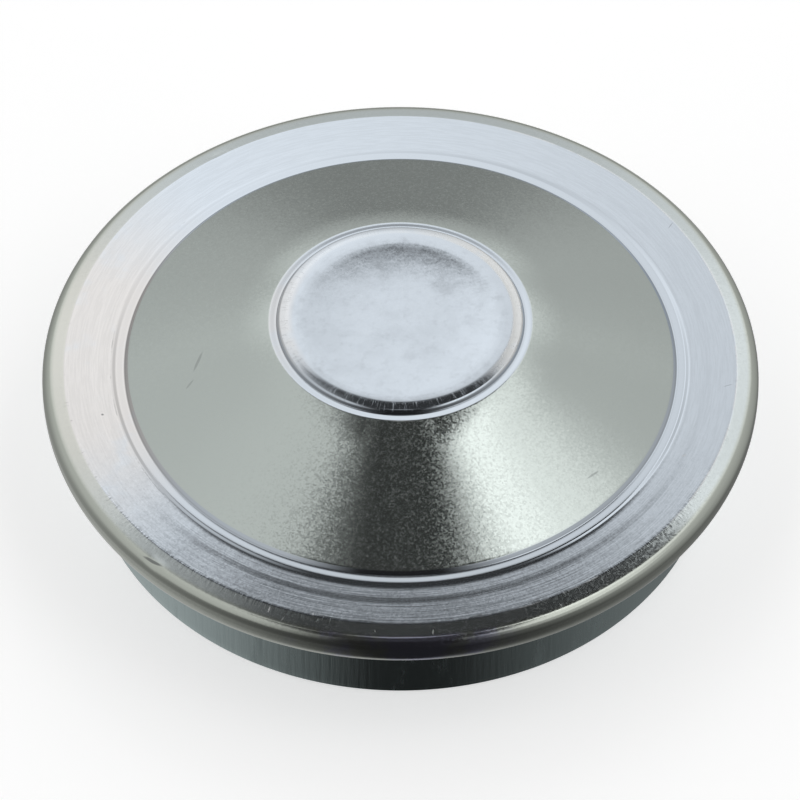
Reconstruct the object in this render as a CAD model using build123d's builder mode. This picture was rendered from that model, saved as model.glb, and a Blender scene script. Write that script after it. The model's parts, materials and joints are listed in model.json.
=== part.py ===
from build123d import *

import os
from math import atan2, cos

# Hub grease cap: one pressed sheet of zinc-plated steel, all sizes in millimetres.
# The origin is on the cap's axis, in the plane of the skirt's lower edge, with +Z towards the crown.

# Sheet and the skirt that is pressed into the hub
sheet = 1.8
skirt_diameter = 55.0
skirt_length = 8.0
lead_in = 0.4

# Flange that stops on the hub: the sheet runs out past the skirt and is folded back, nearly shut
flange_overhang = 4.0
fold_gap = 0.4
fold_mouth_chamfer = 1.2

# Raised band and step where the cone leaves the flange
foot_inset = 3.1
band_width = 1.0
band_edge_run = 0.5
band_rise = 0.09
step_rise = 0.38
step_run = 0.4

# Cone with a slightly rounded top, which ends in a narrow level ledge round the disc
crown_rise = 6.3
ledge_width = 0.65
cone_round_run = 2.4
cone_round_drop = 0.95
cone_foot_inner_radius = 1.0
cone_top_inner_radius = 2.0

# Disc on top: a rounded shoulder up to a gentle crest, then a lip down into a shallow dish
disc_diameter = 21.7
disc_rise = 0.48
shoulder_run = 0.95
crest_run = 1.15
crest_drop = 0.03
dish_lip_run = 0.85
dish_depth = 0.12

# Radii and heights that follow from the sizes above
skirt_radius = skirt_diameter / 2
skirt_inner_radius = skirt_radius - sheet
rim_thickness = 2 * sheet + fold_gap
rim_radius = rim_thickness / 2
seat_z = skirt_length
flange_z = seat_z + rim_thickness
flange_radius = skirt_radius + flange_overhang
fold_r = flange_radius - rim_radius
fold_z = seat_z + rim_radius
foot_r = skirt_radius - foot_inset
step_top_r = foot_r - step_run
band_outer_r = foot_r + band_width
band_crest_r = band_outer_r - band_edge_run
band_z = flange_z + band_rise
step_z = flange_z + step_rise
crown_z = flange_z + crown_rise
ledge_z = crown_z - disc_rise
dish_z = crown_z - dish_depth
disc_r = disc_diameter / 2
shoulder_r = disc_r - shoulder_run
shoulder_z = crown_z - crest_drop
crest_r = shoulder_r - crest_run
lip_r = crest_r - dish_lip_run
lip_z = crown_z - dish_depth * dish_lip_run / crest_r
ledge_r = disc_r + ledge_width
cone_top_r = ledge_r + cone_round_run
cone_top_z = ledge_z - cone_round_drop

# The underside runs one sheet below the dish, the cone's straight slope and the flange
cone_run = step_top_r - cone_top_r
cone_drop = cone_top_z - step_z
sheet_below_cone = sheet / cos(atan2(cone_drop, cone_run))
under_dish_z = dish_z - sheet
under_flange_z = flange_z - sheet
fold_floor_z = seat_z + sheet
fold_end_r = flange_radius - sheet


def under_cone_r(z):
    below = cone_top_z - sheet_below_cone - z
    return cone_top_r + below * cone_run / cone_drop


with BuildPart() as grease_cap:
    with BuildSketch(Plane.XZ):
        with BuildLine():
            # Outside of the disc: dish, lip, crest, rounded shoulder and ledge
            TangentArc((0, dish_z), (lip_r, lip_z), tangent=(1, 0))
            TangentArc((crest_r, crown_z), (lip_r, lip_z), tangent=(-1, 0))
            crest = TangentArc((crest_r, crown_z), (shoulder_r, shoulder_z), tangent=(1, 0))
            TangentArc(crest @ 1, (disc_r, ledge_z), tangent=crest % 1)
            Line((disc_r, ledge_z), (ledge_r, ledge_z))

            # Outside of the cone with its rounded top, then the step and the raised band at its foot
            cone = Line((step_top_r, step_z), (cone_top_r, cone_top_z))
            TangentArc(cone @ 1, (ledge_r, ledge_z), tangent=cone % 1)
            Polyline(
                (step_top_r, step_z),
                (foot_r, band_z),
                (band_crest_r, band_z),
                (band_outer_r, flange_z),
                (fold_r, flange_z),
            )

            # Folded rim, seat and skirt, with the narrow slit that the fold leaves inside
            CenterArc((fold_r, fold_z), rim_radius, -90, 180)
            Polyline(
                (fold_r, seat_z),
                (skirt_radius, seat_z),
                (skirt_radius, lead_in),
                (skirt_radius - lead_in, 0),
                (skirt_inner_radius, 0),
                (skirt_inner_radius, fold_floor_z - fold_mouth_chamfer),
                (skirt_inner_radius + fold_mouth_chamfer, fold_floor_z),
                (fold_end_r, fold_floor_z),
                (fold_end_r, under_flange_z),
            )

            # Underside of the flange, the cone and the disc
            FilletPolyline(
                (fold_end_r, under_flange_z),
                (under_cone_r(under_flange_z), under_flange_z),
                (under_cone_r(under_dish_z), under_dish_z),
                (0, under_dish_z),
                radius=[cone_foot_inner_radius, cone_top_inner_radius],
            )
            Line((0, under_dish_z), (0, dish_z))
        make_face()
    revolve(axis=Axis.Z)

grease_cap.part.label = "grease_cap"
os.makedirs("parts", exist_ok=True)
export_step(grease_cap.part, "parts/grease_cap.step")
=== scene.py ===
import json
import math

import bmesh
import bpy
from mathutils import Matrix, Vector


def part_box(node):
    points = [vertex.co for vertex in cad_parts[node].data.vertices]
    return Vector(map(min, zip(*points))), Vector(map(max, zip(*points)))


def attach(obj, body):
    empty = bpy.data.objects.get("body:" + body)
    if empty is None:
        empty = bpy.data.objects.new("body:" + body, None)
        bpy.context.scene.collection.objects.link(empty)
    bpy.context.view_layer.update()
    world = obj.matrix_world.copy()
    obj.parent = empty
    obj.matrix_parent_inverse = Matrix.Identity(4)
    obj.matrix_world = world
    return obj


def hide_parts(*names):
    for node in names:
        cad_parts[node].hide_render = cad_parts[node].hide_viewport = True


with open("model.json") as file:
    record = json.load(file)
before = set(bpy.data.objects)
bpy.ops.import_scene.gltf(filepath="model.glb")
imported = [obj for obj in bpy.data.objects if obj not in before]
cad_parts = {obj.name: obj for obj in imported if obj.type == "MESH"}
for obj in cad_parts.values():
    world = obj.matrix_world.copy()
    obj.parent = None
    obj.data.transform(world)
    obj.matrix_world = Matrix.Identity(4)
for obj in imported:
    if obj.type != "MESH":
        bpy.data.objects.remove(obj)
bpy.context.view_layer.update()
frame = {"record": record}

mm = .001
scene = bpy.context.scene
scene.view_settings.view_transform = "Standard"


# A socket that can be used in sums: x * 2 + 1 adds the Math nodes for it
class Wire:
    def __init__(self, tree, socket=None):
        self.tree = tree
        self.socket = socket

    # Adds any node: its settings first, then the values or wires of its sockets, by name or number
    def node(self, kind, settings=None, values=None, out=0):
        made = self.tree.nodes.new(kind)
        for name, value in (settings or {}).items():
            if name == "stops":
                setStops(made.color_ramp, value)
            else:
                setattr(made, name, value)
        for name, value in (values or {}).items():
            socket = made.inputs[name]
            if isinstance(value, Wire):
                self.tree.links.new(value.socket, socket)
            else:
                socket.default_value = value
        return Wire(self.tree, made.outputs[out] if made.outputs else None)

    def math(self, operation, *others):
        values = dict(enumerate((self, *others)))
        return self.node("ShaderNodeMath", {"operation": operation}, values)

    def vectors(self, operation, *others, out=0):
        values = dict(enumerate((self, *others)))
        return self.node("ShaderNodeVectorMath", {"operation": operation}, values, out)

    def __add__(self, other):
        return self.math("ADD", other)

    def __sub__(self, other):
        return self.math("SUBTRACT", other)

    def __rsub__(self, other):
        return self.node("ShaderNodeMath", {"operation": "SUBTRACT"}, {0: other, 1: self})

    def __mul__(self, other):
        return self.math("MULTIPLY", other)

    def __truediv__(self, other):
        return self.math("DIVIDE", other)

    def __rtruediv__(self, other):
        return self.node("ShaderNodeMath", {"operation": "DIVIDE"}, {0: other, 1: self})

    def __pow__(self, other):
        return self.math("POWER", other)

    __radd__ = __add__
    __rmul__ = __mul__

    # 0 below low, 1 above high, eased between them; high may be the smaller
    def step(self, low, high):
        if high < low:
            return 1 - self.step(high, low)
        values = {"Value": self, "From Min": low, "From Max": high}
        return self.node("ShaderNodeMapRange", {"interpolation_type": "SMOOTHSTEP"}, values)

    # A hill of height 1 between low and high, with eased sides of the given width
    def between(self, low, high, side):
        return self.step(low - side, low + side) * (1 - self.step(high - side, high + side))

    # Number that goes from low to high as this one goes from 0 to 1
    def ease(self, low, high):
        return low + self * (high - low)

    # Number kept between low and high
    def held(self, low, high):
        return self.math("MAXIMUM", low).math("MINIMUM", high)

    # Vector times number
    def scaled(self, factor):
        return self.node("ShaderNodeVectorMath", {"operation": "SCALE"}, {"Vector": self, "Scale": factor})

    def xyz(self):
        made = self.node("ShaderNodeSeparateXYZ", None, {"Vector": self}).socket.node
        return [Wire(self.tree, made.outputs[i]) for i in range(3)]

    def vector(self, x, y, z):
        return self.node("ShaderNodeCombineXYZ", None, {"X": x, "Y": y, "Z": z})

    def noise(self, scale, detail=2.0, roughness=.5):
        values = {"Vector": self, "Scale": scale, "Detail": detail, "Roughness": roughness}
        return self.node("ShaderNodeTexNoise", None, values)

    # Colour between two colours
    def blend(self, low, high):
        return self.node("ShaderNodeMix", {"data_type": "RGBA"}, {0: self, 6: low, 7: high}, out=2)


def setStops(ramp, stops):
    while len(ramp.elements) < len(stops):
        ramp.elements.new(.5)
    for element, (place, value) in zip(ramp.elements, stops):
        element.position = place
        element.color = (value, value, value, 1)


def newMaterial(name):
    made = bpy.data.materials.new(name)
    made.use_nodes = True
    made.node_tree.nodes.clear()
    return made


# Camera, as the photograph was taken
photoCamera = {
    "elevation": 49.2,  # degrees above the floor
    "distance": .878,
    "lens": 450,
    "sensor": 36,
    "nearest": .01,
    "aim": (-.00004, -.00237, .00996),
}


def makeCamera(c):
    data = bpy.data.cameras.new("photoCamera")
    data.lens = c["lens"]
    data.sensor_width = c["sensor"]
    data.clip_start = c["nearest"]
    camera = bpy.data.objects.new("photoCamera", data)
    tilt = math.radians(c["elevation"])
    away = Vector((0, -math.cos(tilt), math.sin(tilt)))
    camera.location = Vector(c["aim"]) + away * c["distance"]
    camera.rotation_euler = (math.pi / 2 - tilt, 0, 0)
    scene.collection.objects.link(camera)
    scene.camera = camera


makeCamera(photoCamera)
print("camera set")


# The cap: one pressed sheet, drawn as a section that is turned round the axis. Millimetres.
low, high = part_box("grease_cap")
mounts = {m["name"]: m for m in frame["record"]["mounts"]}
capSizes = {
    "flangeRadius": min(*high.xy, *-low.xy) / mm,
    "crown": high.z / mm,
    "skirtRadius": mounts["skirt"]["dims"]["r_mm"],
    "seat": mounts["hub_seat"]["pos_m"][2] / mm,
    "sheet": 1.8,
    "rim": 4.0,  # thickness of the folded flange
    "bevel": (1.92, .44),  # the fold's flattened top: in from the edge, and how far it falls
    "rimBends": (.6, 1.02, 2.2),  # above, at the edge and below
    "leadIn": .4,
    "foldMouth": 1.2,
    "flangeRings": [(2.35, .013), (2.95, .026), (4.3, .0415)],  # out from the foot, and how much lower
    "ringBend": 12,
    "droop": .052,  # the flange falls this much towards its edge
    "footInset": 3.25,
    "bandWidth": 1.15,
    "bandEdge": .42,
    "bandRise": .055,
    "bandBend": 2.5,
    "footBend": .2,
    "stepRise": .38,
    "stepRun": .3,
    "coneEnd": .5,  # finer rows on the cone's last stretch
    "ledgeWidth": .68,
    "ledgeTilt": .022,
    "coneBendRun": 1.55,
    "coneBendDrop": .52,
    "coneBend": 30,
    "discRadius": 10.85,
    "discRise": .48,
    "shoulder": (.17, .125, .3),  # in from the disc's edge, down from the crown, bend
    "crestFall": (.72, .017, 3),
    "crest": (1.95, 27),
    "dishRise": (5.7, 155),  # middle of the dish's rise, and its bend
    "dishDepth": .113,
    "underBend": 2.0,  # bends under the cone's top and at its foot
    "underFootBend": 1,
    "softEdge": .1,  # how much the small edges are rounded
    "fineStep": .2,  # rows of the mesh: on the flats, on the long runs and inside
    "longStep": .8,
    "innerStep": 1.8,
    "arcStep": 4.5,  # rows of a bend: degrees for each, the longest and the shortest
    "longestRow": .4,
    "shortestRow": .02,
    "around": 320,
    "mergeWithin": .002,
    "waveHeight": .010,
    "waveSize": 7.0,
    "waveSeed": 3.0,
    "dents": [  # place round the cap in degrees from the right, radius, height, size, depth
        (226.5, 30.9, 11.55, .9, .10),
        (123.2, 29.8, 11.9, .5, .05),
    ],
}


# Corners of the section as (radius, height, bend radius, mesh step),
# from the crown's centre out to the rim, down the skirt and back inside
def capSection(s):
    crown, seat, sheet, soft = s["crown"], s["seat"], s["sheet"], s["softEdge"]
    disc, rimRadius = s["discRadius"], s["flangeRadius"]
    flange = seat + s["rim"]
    edge = flange - s["droop"]
    dish = crown - s["dishDepth"]
    ledge = crown - s["discRise"]
    ledgeEdge = disc + s["ledgeWidth"]
    coneTop = (ledgeEdge + s["coneBendRun"], ledge - s["coneBendDrop"])
    foot = s["skirtRadius"] - s["footInset"]
    coneFoot = (foot - s["stepRun"], flange + s["stepRise"])
    coneEnd = s["coneEnd"]
    band = flange + s["bandRise"]
    bandEnd = foot + s["bandWidth"]
    slope = (coneTop[1] - coneFoot[1]) / (coneFoot[0] - coneTop[0])
    underCone = coneTop[1] - sheet * math.hypot(1, slope)
    underDish = dish - sheet
    underFlange = flange - sheet
    skirtInside = s["skirtRadius"] - sheet
    foldEnd = rimRadius - sheet
    above, beside, below = s["rimBends"]
    bevelRun, bevelFall = s["bevel"]
    fine, long, inner = s["fineStep"], s["longStep"], s["innerStep"]
    return [
        (0, dish, 0, long),
        (s["dishRise"][0], dish, s["dishRise"][1], fine),
        (disc - s["crest"][0], crown, s["crest"][1], fine),
        (disc - s["crestFall"][0], crown - s["crestFall"][1], s["crestFall"][2], fine),
        (disc - s["shoulder"][0], crown - s["shoulder"][1], s["shoulder"][2], fine),
        (disc, ledge - s["ledgeTilt"], soft, fine),
        (ledgeEdge, ledge, soft, fine),
        (*coneTop, s["coneBend"], long),
        (coneFoot[0] - coneEnd, coneFoot[1] + coneEnd * slope, 0, fine),
        (*coneFoot, soft, fine),
        (foot, band, s["footBend"], fine),
        (bandEnd - s["bandEdge"], band, soft * 2, fine),
        (bandEnd, flange, s["bandBend"], fine),
        *[(foot + out, flange - lower, s["ringBend"], fine) for out, lower in s["flangeRings"]],
        (rimRadius - bevelRun, edge, above, fine),
        (rimRadius, edge - bevelFall, beside, fine),
        (rimRadius, seat, below, fine),
        (s["skirtRadius"], seat, soft, long),
        (s["skirtRadius"], s["leadIn"], soft * 2, fine),
        (s["skirtRadius"] - s["leadIn"], 0, soft, long),
        (skirtInside, 0, soft, inner),
        (skirtInside, seat + sheet - s["foldMouth"], s["foldMouth"], inner),
        (skirtInside + s["foldMouth"], seat + sheet, s["foldMouth"], inner),
        (foldEnd, seat + sheet, 0, inner),
        (foldEnd, underFlange, 0, inner),
        (coneTop[0] + (underCone - underFlange) / slope, underFlange, s["underFootBend"], inner),
        (coneTop[0] + (underCone - underDish) / slope, underDish, s["underBend"], inner),
        (0, underDish, 0, inner),
    ]


# Rows for the bend at a corner, by its angle and its length
def bendRows(corners, i, s):
    fewest = 2
    if i in (0, len(corners) - 1):
        return fewest
    before, here, after = (Vector(corners[k][:2]) for k in (i - 1, i, i + 1))
    turn = abs((here - before).angle_signed(after - here))
    length = turn * corners[i][2]
    rows = max(turn / math.radians(s["arcStep"]), length / s["longestRow"])
    return max(fewest, round(min(rows, length / s["shortestRow"])))


# Section as a mesh of edges, with the bends and steps as attributes of its corners
def sectionMesh(corners, s):
    made = bpy.data.meshes.new("capSection")
    made.from_pydata([(r * mm, 0, z * mm) for r, z, bend, step in corners],
                     [(i, i + 1) for i in range(len(corners) - 1)], [])
    bends = made.attributes.new("bend", "FLOAT", "POINT")
    bends.data.foreach_set("value", [bend * mm for r, z, bend, step in corners])
    steps = made.attributes.new("meshStep", "FLOAT", "POINT")
    steps.data.foreach_set("value", [step * mm for r, z, bend, step in corners])
    arcs = made.attributes.new("arcPoints", "INT", "POINT")
    arcs.data.foreach_set("value", [bendRows(corners, i, s) for i in range(len(corners))])
    return made


# Tree that turns a section round the axis and gives the sheet its slight waves and dents
def turnedSheetTree(s, material):
    tree = bpy.data.node_groups.new("turnedSheet", "GeometryNodeTree")
    tree.interface.new_socket("Geometry", in_out="INPUT", socket_type="NodeSocketGeometry")
    tree.interface.new_socket("Geometry", in_out="OUTPUT", socket_type="NodeSocketGeometry")
    for name, kind in (("Around", "Int"), ("Radius", "Float"), ("Wave Height", "Float"),
                       ("Wave Size", "Float"), ("Wave Seed", "Float")):
        tree.interface.new_socket(name, in_out="INPUT", socket_type="NodeSocket" + kind)
    start = tree.nodes.new("NodeGroupInput")
    given = {socket.name: Wire(tree, socket) for socket in start.outputs if socket.name}
    g = Wire(tree)

    def attribute(name, kind):
        return g.node("GeometryNodeInputNamedAttribute", {"data_type": kind}, {"Name": name})

    def place():
        return g.node("GeometryNodeInputPosition")

    # Section: rounded corners, then more points on the long runs
    line = g.node("GeometryNodeMeshToCurve", None, {"Mesh": given["Geometry"]})
    line = g.node("GeometryNodeFilletCurve", {"mode": "POLY"},
                  {"Curve": line, "Count": attribute("arcPoints", "INT"),
                   "Radius": attribute("bend", "FLOAT"), "Limit Radius": True})
    nextPlace = g.node("GeometryNodeFieldAtIndex", {"data_type": "FLOAT_VECTOR", "domain": "POINT"},
                       {"Value": place(), "Index": g.node("GeometryNodeInputIndex") + 1})
    run = place().vectors("DISTANCE", nextPlace, out="Value")
    cuts = (run / attribute("meshStep", "FLOAT")).math("FLOOR")
    line = g.node("GeometryNodeSubdivideCurve", None, {"Curve": line, "Cuts": cuts})

    # Turned round: the section stands across a circle of the flange's radius
    x, y, z = place().xyz()
    across = g.vector(x - given["Radius"], z * -1, 0.0)
    line = g.node("GeometryNodeSetPosition", None, {"Geometry": line, "Position": across})
    circle = g.node("GeometryNodeCurvePrimitiveCircle", {"mode": "RADIUS"},
                    {"Resolution": given["Around"], "Radius": given["Radius"]})
    sheet = g.node("GeometryNodeCurveToMesh", None, {"Curve": circle, "Profile Curve": line})
    sheet = g.node("GeometryNodeMergeByDistance", None,
                   {"Geometry": sheet, "Distance": mm * s["mergeWithin"]})

    # Waves and dents, always inwards
    normal = g.node("GeometryNodeInputNormal")
    moved = place()
    seed = g.vector(given["Wave Seed"], 0.0, 0.0)
    depth = moved.scaled(1 / given["Wave Size"]).vectors("ADD", seed).noise(1.0, 1.0) * given["Wave Height"]
    for angle, radius, height, size, deep in s["dents"]:
        turn = math.radians(angle)
        centre = Vector((radius * math.cos(turn), radius * math.sin(turn), height)) * mm
        far = moved.vectors("DISTANCE", centre, out="Value")
        depth = depth + far.step(size * mm, 0) * (deep * mm)
    inwards = normal.scaled(depth * -1)
    sheet = g.node("GeometryNodeSetPosition", None, {"Geometry": sheet, "Offset": inwards})

    sheet = g.node("GeometryNodeSetShadeSmooth", None, {"Geometry": sheet})
    sheet = g.node("GeometryNodeRealizeInstances", None, {"Geometry": sheet})
    sheet = g.node("GeometryNodeSetMaterial", None, {"Geometry": sheet, "Material": material})
    end = tree.nodes.new("NodeGroupOutput")
    tree.links.new(sheet.socket, end.inputs["Geometry"])
    return tree


def makeCap(s, material):
    cap = bpy.data.objects.new("pressed_cap", sectionMesh(capSection(s), s))
    scene.collection.objects.link(cap)
    turned = cap.modifiers.new("turnedSheet", "NODES")
    turned.node_group = turnedSheetTree(s, material)
    inputs = {"Around": s["around"], "Radius": s["flangeRadius"] * mm, "Wave Height": s["waveHeight"] * mm,
              "Wave Size": s["waveSize"] * mm, "Wave Seed": s["waveSeed"]}
    for item in turned.node_group.interface.items_tree:
        if item.in_out == "INPUT" and item.name in inputs:
            turned[item.identifier] = inputs[item.name]
    solid = bpy.data.meshes.new_from_object(cap.evaluated_get(bpy.context.evaluated_depsgraph_get()))
    cap.modifiers.remove(turned)
    cap.data = solid
    return cap


# Zinc plate: a bright metal that shows how the sheet was rolled, drawn and handled. Millimetres.
# Places round the cap are y over radius, which is -1 in front and 1 behind, or x, which is positive
# on the right. A pair of them runs from where something starts to where it is full.
zincLook = {
    "flatTint": (.66, .725, .795, 1),  # disc, ledge, band and flange
    "warmTint": (.725, .71, .70, 1),  # where the film on the flange has yellowed
    "coneTint": (.654, .715, .685, 1),
    "bevelTint": (.69, .75, .755, 1),
    "warmBevelTint": (.755, .76, .71, 1),  # painted warm reflection on the left
    "noseTint": (.61, .645, .585, 1),
    "blueTint": (.56, .57, .72, 1),  # painted blue reflection on the front of the nose
    "skirtTint": (.60, .715, .715, 1),
    # grime, and the painted shade in the creases
    "grimeTint": (.16, .17, .17, 1),
    # worn metal, and the painted sheen on the disc's shoulder and the bevel's edge
    "wornTint": (.94, .95, .94, 1),
    "flatRoughness": .10,
    "coneRoughness": .105,
    "rimRoughness": .12,
    "skirtRoughness": .17,
    "wornRoughness": .38,
    "dullFace": .05,  # added to the dish in patches
    "noseFrom": (.8, 1.3),  # the nose, outwards from the bevel's start
    "grain": (.15, .034, .13),  # facets of the rolled sheet: their size, lean and dullness
    "grainKept": (.16, .14, .5),  # how much of their lean the dish, the flange and the rim have
    "peel": (1.3, .0035),  # the wider unevenness under it: size, depth
    "front": (-.955, -.988),
    "bandLine": (.07, .08, .06),  # steeper part of the band's edge: from its two ends, and how soft
    "bandLean": .19,  # how steep, to the sides of the front
    "bandSides": (.5, 0),
    "coneLean": (2.9, .039),  # in front the cone's top is steeper too: how far out, how much for each mm
    "dashes": (.15, 12, .0006),  # round the flange: width, noise along it, depth
    "arcs": (.3, 2, .0016),
    "drawLines": (70, .15, 4),  # noise in streaks: round the cap, along the streak, detail
    "drawDepth": .02,
    "whiskers": (260, .6, 2),  # short scratches across the disc's shoulder and the bevel's start
    "whiskerDepth": .005,
    "scuffs": (90, .9, 2),  # the same, wider, at the bevel's start
    "scuffDepth": .008,
    "tufts": (14, .5, 2),  # the patches that the whiskers and bites stand in
    "smears": (16, .12, 3),  # down the skirt
    "smearDullness": .28,
    "clouds": 2.6,  # size of the dull patches
    "filmScale": .3,
    "breaks": 6,  # noise round the cap, which breaks worn edges up
    "warmX": (4, -22),  # the film has yellowed on the left, in the middle, and the rim there has a painted warm reflection
    "warmY": (-.5, .55, .25),
    # where the painted blue reflection on the nose starts and is full, in front
    "blueFront": (-.94, -.985),
    "edgeWear": .5,  # worn, with a painted edge highlight, at the bevel's start, on the right
    "edgeX": (2, 14),
    "rubbedY": (-.8, -.35),  # the disc's shoulder is rubbed and has a painted sheen, but not in front, and most on the lit right side
    "rubbedX": (-2, 9),
    "rubbedLevels": (.2, .9),
    "mottle": (.12, .15, .06),  # grime on the dish: in small, middling and wide patches
    "mottleScale": 1.1,
    # painted shade in the creases at the cone's foot and the disc's edge, with some grime
    "creaseGrime": .25,
    "dashGrime": .35,  # in the broken line outside the band, on the left
    "dashX": (-14, -22),
    "biteGrime": .5,  # darker in the bites just inside the bevel, in front
    "biteY": (-.4, -.8),
    "flangeGrime": .05,
    "darkMarks": [  # place, direction in degrees, half length, half width, strength
        (-17.7, -2.4, 68, 1.2, .17, .3),
        (-18.4, -4.6, 50, .6, .14, .22),
        (16.7, -13.9, 43, .8, .11, .4),
        (-26.05, -5.8, 0, .15, .13, .7),
        (-21.4, -22.2, -36, 1.2, .16, .8),
        (24.0, 16.4, 60, .5, .06, .35),
        (28.7, -2.4, 20, .5, .05, .35),
    ],
    "lightMarks": [
        (-11.3, -27.8, 70, .35, .09, .8),
        (-10.1, -28.7, 55, .3, .04, .5),
        (-7.5, -28.4, 80, .25, .05, .4),
        (-2.2, -30.1, 100, .2, .05, .5),
        (2.8, -30.2, 85, .3, .06, .7),
        (2.3, -11.8, 60, .3, .05, .6),
        (13.8, -27.2, 125, .35, .04, .5),
        (24.7, -10.5, 30, .25, .12, .3),
    ],
}


def zincPlate(look, s):
    made = newMaterial("zincPlate")
    m = Wire(made.node_tree)
    place = m.node("ShaderNodeTexCoord", out="Object").scaled(1 / mm)
    x, y, z = place.xyz()
    tiny = .0001  # keeps the division below safe on the axis
    radius = (x * x + y * y + tiny).math("SQRT")
    across, along = x / radius, y / radius
    foot = s["skirtRadius"] - s["footInset"]
    bandEnd = foot + s["bandWidth"]
    disc = s["discRadius"]
    ledgeEdge = disc + s["ledgeWidth"]
    bevel = s["flangeRadius"] - s["bevel"][0]

    # Zones of the cap, with soft borders
    top = z.step(s["seat"] - .3, s["seat"] + .3)
    skirt = 1 - top
    rim = radius.step(bevel - .06, bevel + .1) * top
    nose = radius.step(*(bevel + out for out in look["noseFrom"])) * top
    flange = radius.between(bandEnd - .1, bevel, .15) * top
    cone = radius.between(ledgeEdge, foot - s["stepRun"], .08) * top
    face = radius.step(disc - 1, disc - 1.6) * top
    shoulder = radius.between(disc - 1.0, disc - .1, .12) * top
    crease = radius.between(foot - .1, foot, .06) + radius.between(disc - .06, disc + .02, .05)
    bevelEdge = radius.between(bevel - .1, bevel + .5, .25) * top

    # Noise in rings, and in streaks that run down the skirt or outwards on the top
    def rings(width, turns, depth):
        return (m.vector(radius / width, across * turns, along * turns).noise(1.0, 1, .5) - .5) * depth

    def streaks(way, turns, run, detail):
        return m.vector(across * turns, along * turns, way * run).noise(1.0, detail, .6)

    # Unevenness of the surface, in millimetres
    size, depth = look["peel"]
    peel = (place.noise(1 / size, 2, .5) - .5) * depth
    dashes, arcs = rings(*look["dashes"]), rings(*look["arcs"])
    drawLines = (streaks(z, *look["drawLines"]) - .5) * look["drawDepth"]
    hairs = streaks(radius, *look["whiskers"])
    tufts = streaks(radius, *look["tufts"])
    whiskers = hairs.step(.6, .8) * (shoulder + bevelEdge * tufts.step(.4, .65)) * look["whiskerDepth"]
    scuffs = (streaks(radius, *look["scuffs"]) - .5) * look["scuffDepth"]
    uneven = peel * (cone + face + rim + flange * .5) + (dashes + arcs) * flange
    uneven = uneven + drawLines * skirt - whiskers + scuffs * bevelEdge
    bumped = m.node("ShaderNodeBump", None, {"Strength": 1.0, "Distance": mm, "Height": uneven})

    # Rolled grain: small facets, each leaning its own way and more or less dull
    size, lean, dull = look["grain"]
    onFace, onFlange, onRim = look["grainKept"]
    cells = {"Vector": place, "Scale": 1 / size}
    facets = m.node("ShaderNodeTexVoronoi", {"feature": "F1"}, cells, out="Color")
    specks = facets.xyz()[0]
    grained = cone + face * onFace + flange * onFlange + rim * onRim
    ways = facets.vectors("SUBTRACT", (.5, .5, .5))
    leaning = bumped.vectors("ADD", ways.scaled(grained * lean))

    # Steeper to the light, as a lean outwards: the band's edge and the cone's top
    ahead = along.step(*look["front"])
    inner, outer, soft = look["bandLine"]
    bandEdge = radius.between(bandEnd - s["bandEdge"] + inner, bandEnd - outer, soft)
    bandEdge = bandEdge * along.step(*look["bandSides"]) * (1 - ahead) * top
    out, each = look["coneLean"]
    coneTop = (ledgeEdge + out - radius).math("MAXIMUM", 0.0) * cone * ahead * each
    steeper = m.vector(across, along, 0.0).scaled(bandEdge * look["bandLean"] + coneTop)
    normal = leaning.vectors("ADD", steeper).vectors("NORMALIZE")

    # Short scratches and nicks: narrow ovals
    def oval(px, py, turn, half, thin, strength):
        c, n = math.cos(math.radians(turn)), math.sin(math.radians(turn))
        u = x * (c / half) + y * (n / half) - (px * c + py * n) / half
        v = y * (c / thin) - x * (n / thin) + (px * n - py * c) / thin
        return (u * u + v * v).step(1.0, .2) * strength

    dark = sum((oval(*mark) for mark in look["darkMarks"]), 0) * top
    light = sum((oval(*mark) for mark in look["lightMarks"]), 0) * top

    # Colour: the film's tint in each zone, yellowed on the left with a painted warm reflection on the rim,
    # and a painted blue reflection on the nose in front
    cloud = place.noise(1 / look["clouds"], 4, .6)
    film = place.noise(look["filmScale"], 3, .6)
    breaks = m.vector(across * look["breaks"], along * look["breaks"], 0.0).noise(1.0, 4, .7)
    warmSide = x.step(*look["warmX"]) * along.between(*look["warmY"])
    yellowed = warmSide * film.step(.1, .5) * (1 - face)
    # painted blue reflection on the front of the nose
    blueReflection = nose * along.step(*look["blueFront"]) * film.step(.4, .6)
    tint = yellowed.blend(look["flatTint"], look["warmTint"])
    tint = cone.blend(tint, look["coneTint"])
    # on the left the rim's tint is a painted warm reflection
    tint = rim.blend(tint, warmSide.blend(look["bevelTint"], look["warmBevelTint"]))
    tint = nose.blend(tint, look["noseTint"])
    tint = blueReflection.blend(tint, look["blueTint"])
    tint = skirt.blend(tint, look["skirtTint"])

    # Worn edges, a rubbed shoulder and light scratches; on the edges and the shoulder partly a painted
    # sheen, strongest on the lit right side
    edges = radius.between(bevel - .08, bevel + .06, .05) * breaks.step(.4, .55)
    edges = edges * x.step(*look["edgeX"]) * top * look["edgeWear"]
    rubbedAndSheen = shoulder * along.step(*look["rubbedY"]) * cloud.step(.25, .5)
    rubbedAndSheen = rubbedAndSheen * x.step(*look["rubbedX"]).ease(*look["rubbedLevels"])
    wornAndSheen = rubbedAndSheen + edges + light
    tint = wornAndSheen.blend(tint, look["wornTint"])

    # Painted shade, with some grime, in the creases; grime in patches on the dish and in the marks; darker
    # in the bites
    dash = radius.between(bandEnd + .02, bandEnd + .1, .04) * breaks.step(.5, .6)
    dash = dash * x.step(*look["dashX"]) * top
    small, middling, wide = look["mottle"]
    mottle = place.noise(look["mottleScale"], 3, .6).step(.5, .8) * small
    mottle = mottle + cloud.step(.55, .85) * middling + film.step(.45, .65) * wide
    soiled = (dashes / look["dashes"][2] + .5).step(.4, .6)
    bitten = radius.between(bevel - .4, bevel, .2) * tufts.step(.5, .62) * along.step(*look["biteY"]) * top
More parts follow.
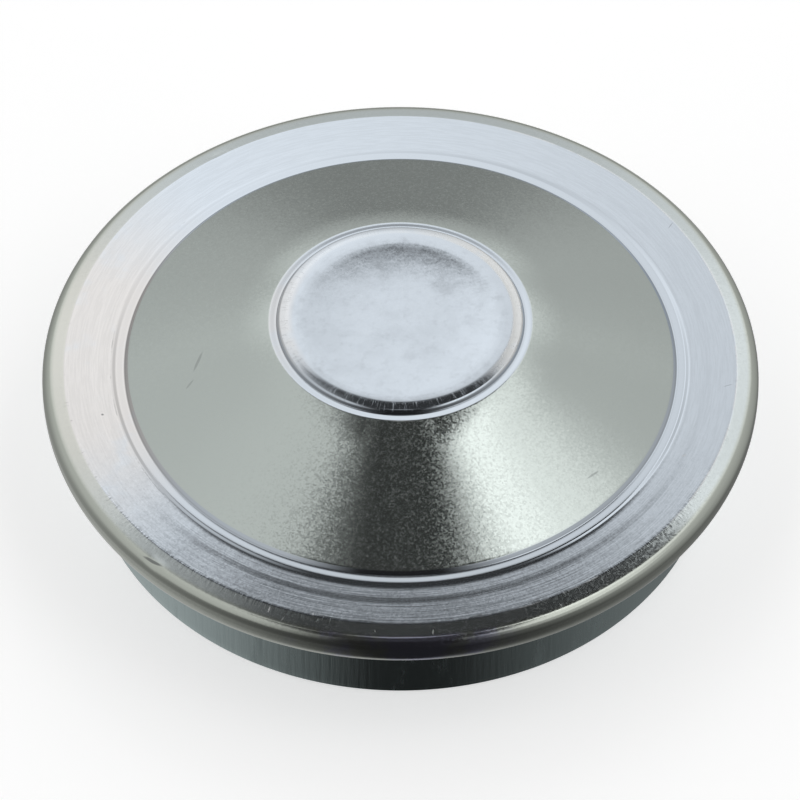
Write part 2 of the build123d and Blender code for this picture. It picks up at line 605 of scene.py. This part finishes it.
    # the creases get painted shade here, with some grime
    dirtAndShade = crease * top * look["creaseGrime"] + face * mottle + dash * look["dashGrime"] + dark
    # the bites just inside the bevel are darker, in front only
    dirtAndShade = dirtAndShade + (bitten * look["biteGrime"] + flange * look["flangeGrime"]) * soiled
    tint = dirtAndShade.blend(tint, look["grimeTint"])

    flat = look["flatRoughness"]
    rough = cone.ease(flat, look["coneRoughness"])
    rough = rough + rim * (look["rimRoughness"] - flat)
    rough = rough + skirt * (look["skirtRoughness"] - flat)
    rough = rough + wornAndSheen * (look["wornRoughness"] - flat)
    rough = rough + face * cloud.step(.45, .75) * look["dullFace"]
    rough = rough + (cone + rim * .6) * specks ** 2.0 * dull
    rough = rough + skirt * streaks(z, *look["smears"]).step(.52, .72) * look["smearDullness"]
    shader = m.node("ShaderNodeBsdfPrincipled", None,
                    {"Base Color": tint, "Metallic": 1.0, "Roughness": rough, "Normal": normal})
    m.node("ShaderNodeOutputMaterial", None, {"Surface": shader})
    return made


zinc = zincPlate(zincLook, capSizes)
cap = makeCap(capSizes, zinc)
print("cap", len(cap.data.vertices), "points,", len(cap.data.polygons), "faces")


# Stage: a pale floor, and a light tent that is bright behind and dark overhead. Metres.
stageSizes = {
    "floorRadius": 2.6,
    "floorCorners": 96,
    "floorColour": (.86, .86, .86, 1),
    "floorGlow": (.59, .59, .59, 1),  # makes the floor paler to the eye and gives no light
    "tentRadius": 3.0,
    "tentCorners": (64, 32),
    "backdrop": (.9, .9, .9, 1),
}
# Heights are degrees above the floor, and turns are degrees from behind the cap, positive to the right.
# As with the plate, a pair runs from where something starts to where it is full.
tentGlow = {
    "behind": [(-90, .28), (-60, .45), (-40, .72), (-25, .66), (-14, .56), (-5, .25), (3, .25),  # by height
               (9, .44), (15, .52), (25, .58), (33, .86), (40, .98), (90, 1.0)],
    "left": [(-90, .36), (-65, .44), (-54, .52), (-45, .33), (-14, .34), (4, .43), (28, .57),
             (45, .60), (60, .66), (90, .64)],
    "right": [(-90, .26), (-65, .23), (-54, .20), (-45, .15), (-25, .29), (-14, .38), (4, .45),
              (28, .52), (45, .56), (50, .70), (55, .94), (64, 1.12), (66.5, 1.3), (72, 1.4), (90, 1.4)],
    "wash": [(-40, 1.1), (-14, .97), (-7, 1.16), (0, 1.0), (7, .79), (14, 1.0), (40, 1.3)],  # by turn
    "washHeight": (22, 40),
    "leftToRight": (-20, 20),
    "lowSides": (4, 26),  # the back goes over into the sides at these turns, later higher up
    "highSides": (16, 50),
    "sidesHeight": (20, 36),
    "halo": (12, 22, 6, 16, 28, 6, .2),  # brighter on both sides of the back: turn, height and how much
    "cheek": (95, 150, 12, 37, 50, 4, .4),  # and to the right of the camera
    "lowFade": (65, 185),  # darker in front, later and more suddenly above the floor's level
    "highFade": (132, 168),
    "fadeHeight": (5, 20),
    "nadirHeight": (-60, -75),  # but not straight below, behind the middle
    "nadirBack": (0, .25),
    "dark": .042,  # the open roof
    "dim": .018,  # what the darkest cloth in front still gives
    "zenith": (.02, .105, .06, .42),  # a paler spot straight above: how far back, size, middle, how much
    "roof": (50.15, 52.9),  # behind, the cloth ends at this height
    "roofLean": (20, .08),  # higher to the right, up to this turn, by so much for each degree
    "roofSides": (6, 30, .18),  # higher to both sides: from this turn, over so many degrees, by so much
    "roofLeft": (2.5, 8, .36),  # and again to the left
    "gapLeft": (.268, .43, .02, .07, .3),  # gap in the roof: half width, taper to front and to back,
    "gapRight": (.256, .42, .35, .05, 0),  # soft edge, and how much softer to the back
    "front": (-.06, -.18),  # between the sides, the cloth overhead ends here, in front of the middle
    "frontSides": (.42, .29),
    "frontHeight": (47, 53),
}


def ballMesh(name, radius, corners):
    made = bpy.data.meshes.new(name)
    ball = bmesh.new()
    bmesh.ops.create_uvsphere(ball, u_segments=corners[0], v_segments=corners[1], radius=radius)
    ball.to_mesh(made)
    ball.free()
    return made


def discMesh(name, radius, corners):
    made = bpy.data.meshes.new(name)
    disc = bmesh.new()
    bmesh.ops.create_circle(disc, cap_ends=True, segments=corners, radius=radius)
    disc.to_mesh(made)
    disc.free()
    return made


def tentMaterial(glow):
    made = newMaterial("tentCloth")
    m = Wire(made.node_tree)
    way = m.node("ShaderNodeTexCoord", out="Object").vectors("NORMALIZE")
    x, y, z = way.xyz()
    degrees = 180 / math.pi
    height = z.math("ARCSINE") * degrees
    turn = x.math("ARCTAN2", y) * degrees
    side = turn.math("ABSOLUTE")

    def ramp(name, value):
        low, high = glow[name][0][0], glow[name][-1][0]
        stops = [((at - low) / (high - low), level) for at, level in glow[name]]
        return m.node("ShaderNodeValToRGB", {"stops": stops}, {"Fac": (value - low) / (high - low)})

    def patch(place, left, right, soft, low, high, softer, more):
        return place.between(left, right, soft) * height.between(low, high, softer) * more

    toRight = turn.step(*glow["leftToRight"])
    sides = ramp("left", height) * (1 - toRight) + ramp("right", height) * toRight
    wash = 1 + (ramp("wash", turn) - 1) * height.step(*glow["washHeight"])
    behind = ramp("behind", height) * wash
    wide = height.step(*glow["sidesHeight"])
    beside = side.step(*glow["lowSides"]) * (1 - wide) + side.step(*glow["highSides"]) * wide
    cloth = behind * (1 - beside) + sides * beside + patch(side, *glow["halo"])

    # In front the cloth gets darker
    above = height.step(*glow["fadeHeight"])
    nadir = height.step(*glow["nadirHeight"]) * y.step(*glow["nadirBack"])
    fade = (1 - side.step(*glow["lowFade"])) * (1 - above) + (1 - side.step(*glow["highFade"])) * above
    cloth = cloth * (fade * (1 - nadir) + nadir) + patch(turn, *glow["cheek"])

    # Overhead it is open: a gap along the middle, and the front
    toFront, toBack = y.math("MINIMUM", 0.0), y.math("MAXIMUM", 0.0)

    def gapTo(edge, half, ahead, behind, soft, softer):
        return ((toFront * ahead + toBack * behind + half - edge) / (toBack * softer + soft)).step(-1, 1)

    def raised(place, start, reach, each):
        return (place - start).held(0.0, reach) * each

    reach, each = glow["roofLean"]
    lift = raised(side, *glow["roofSides"]) + turn.held(-reach, reach) * each
    lift = lift + raised(turn * -1, *glow["roofLeft"])
    roof = (height - lift).step(*glow["roof"])
    gap = gapTo(x * -1, *glow["gapLeft"]) * gapTo(x, *glow["gapRight"]) * roof
    front = y.step(*glow["front"]) * x.math("ABSOLUTE").step(*glow["frontSides"])
    front = front * height.step(*glow["frontHeight"])
    dark = gap.math("MAXIMUM", front)
    back, size, middle, more = glow["zenith"]
    spot = (x * x + (y - back) ** 2.0).step(size ** 2, middle ** 2) * more
    cloth = (cloth * (1 - dark) + dark * (spot + glow["dark"])).math("MAXIMUM", glow["dim"])
    light = m.node("ShaderNodeEmission", None, {"Color": m.vector(cloth, cloth, cloth), "Strength": 1.0})
    m.node("ShaderNodeOutputMaterial", None, {"Surface": light})
    made.cycles.emission_sampling = "NONE"  # the tent is all round, so rays find it without help
    return made


def floorMaterial(s):
    made = newMaterial("paleFloor")
    m = Wire(made.node_tree)
    cloth = m.node("ShaderNodeBsdfDiffuse", None, {"Color": s["floorColour"]})
    glow = m.node("ShaderNodeEmission", None, {"Color": s["floorGlow"], "Strength": 1.0})
    paler = m.node("ShaderNodeAddShader", None, {0: cloth, 1: glow})
    rays = ("Is Camera Ray", "Is Glossy Ray", "Is Transmission Ray")
    seen = sum((m.node("ShaderNodeLightPath", out=ray) for ray in rays), 0)
    shader = m.node("ShaderNodeMixShader", None, {0: seen, 1: cloth, 2: paler})
    m.node("ShaderNodeOutputMaterial", None, {"Surface": shader})
    return made


def makeStage(s, glow):
    floor = bpy.data.objects.new("floor", discMesh("floor", s["floorRadius"], s["floorCorners"]))
    floor.data.materials.append(floorMaterial(s))
    floor.visible_glossy = False  # the plate mirrors the lower half of the tent instead
    tent = bpy.data.objects.new("lightTent", ballMesh("lightTent", s["tentRadius"], s["tentCorners"]))
    tent.data.materials.append(tentMaterial(glow))
    tent.visible_camera = False
    for obj in (floor, tent):
        scene.collection.objects.link(obj)
    world = bpy.data.worlds.new("paleRoom")
    world.use_nodes = True
    world.node_tree.nodes["Background"].inputs["Color"].default_value = s["backdrop"]
    scene.world = world


makeStage(stageSizes, tentGlow)
print("stage set")

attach(cap, "root")
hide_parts("grease_cap")
